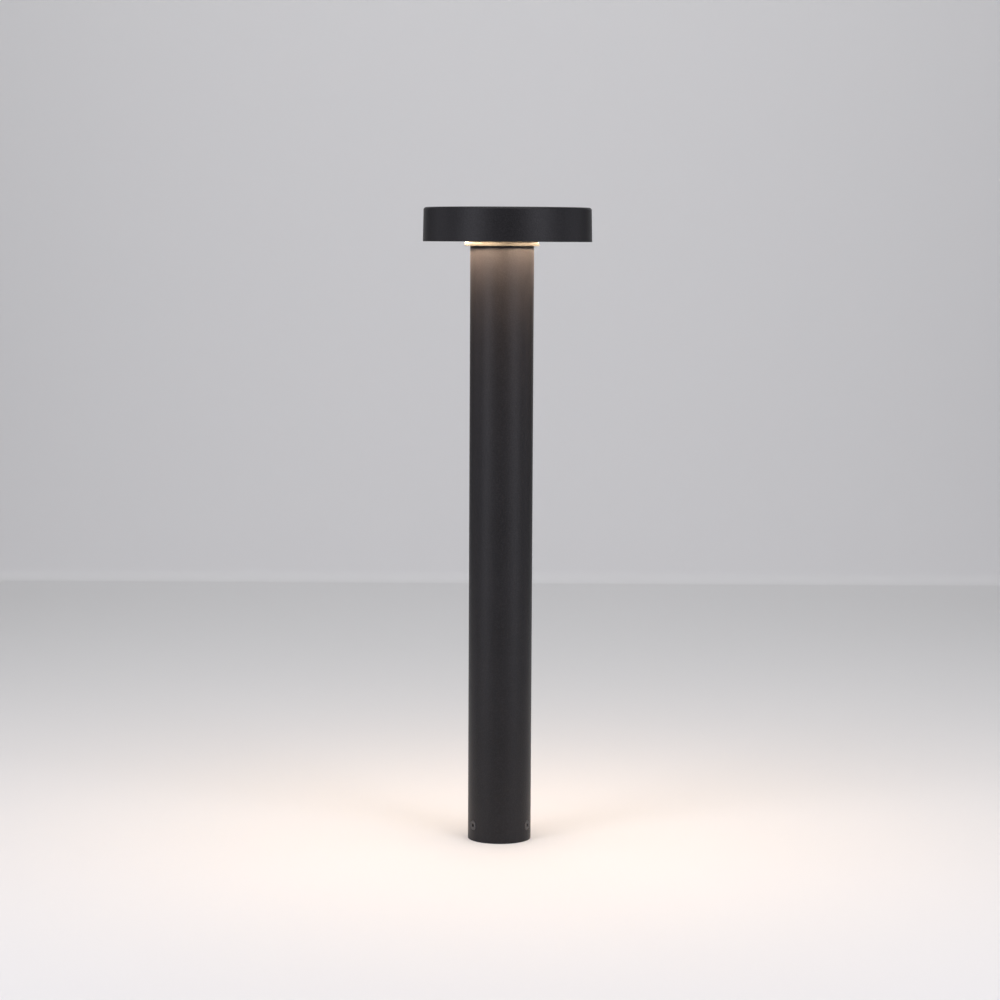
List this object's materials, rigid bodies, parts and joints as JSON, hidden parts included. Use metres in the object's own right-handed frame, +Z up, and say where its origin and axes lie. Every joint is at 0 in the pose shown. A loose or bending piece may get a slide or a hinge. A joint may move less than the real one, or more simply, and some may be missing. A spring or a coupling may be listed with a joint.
{
  "type": "bollard light",
  "caption": "Round bollard light: a flat disc head on a slim round tube, with a narrow collar under the head and a warm diffuser that lights the ground.",
  "frame": {"origin": "on the tube's axis, at ground level", "axes": "+Z up the tube; the head's axis is 5 mm from the tube's towards +X; the front is -Y"},
  "size_m": [0.159, 0.159, 0.6],
  "materials": {
    "black_powder_coat": "satin black polyester powder coat, fine orange peel",
    "black_ring": "matt black",
    "black_collar": "smooth black powder coat, satin; it looks cream where the lamp lights it",
    "opal_diffuser": "opal, satin, glows warm white",
    "white_reflector": "bright white",
    "white_board": "white solder mask",
    "led_phosphor": "yellow phosphor",
    "white_nylon": "natural white nylon",
    "stainless_screws": "stainless steel, satin",
    "blackened_screws": "stainless steel, blackened, satin",
    "bare_casting": "die-cast aluminium, tumbled",
    "zinc_tray": "zinc-plated sheet steel",
    "plated_brass": "nickel-plated brass",
    "driver_case": "white driver housing",
    "grey_rubber": "grey silicone",
    "black_rubber": "black rubber",
    "white_cable": "white sheath",
    "brown_wire": "brown insulation",
    "blue_wire": "blue insulation",
    "green_wire": "green and yellow insulation"
  },
  "bodies": {
    "root": {"head_cover": "black_powder_coat", "tube": "black_powder_coat", "retaining_ring": "black_ring", "retaining_screws": "stainless_screws", "diffuser": "opal_diffuser", "diffuser_outer_gasket": "grey_rubber", "diffuser_inner_gasket": "grey_rubber", "reflector": "white_reflector", "thermal_pad": "grey_rubber", "led_board": "white_board", "led_chips": "led_phosphor", "board_connector": "white_nylon", "board_screws": "stainless_screws", "collar": "black_collar", "neck": "bare_casting", "neck_screws": "stainless_screws", "lead_grommet": "black_rubber", "tube_end_plate": "bare_casting", "column_screws": "stainless_screws", "column_washers": "stainless_screws", "base": "bare_casting", "foot_gasket": "black_rubber", "foot_screws": "blackened_screws", "gland_body": "plated_brass", "gland_seal": "black_rubber", "gland_nut": "plated_brass", "gear_tray": "zinc_tray", "tray_screws": "stainless_screws", "driver": "driver_case", "driver_screws": "stainless_screws", "terminal_block": "white_nylon", "terminal_screws": "plated_brass", "terminal_mount_screw": "stainless_screws", "led_lead": "white_cable", "live_wire": "brown_wire", "neutral_wire": "blue_wire", "earth_wire": "green_wire", "earth_lug": "plated_brass", "earth_screw": "stainless_screws"}
  },
  "joints": []
}
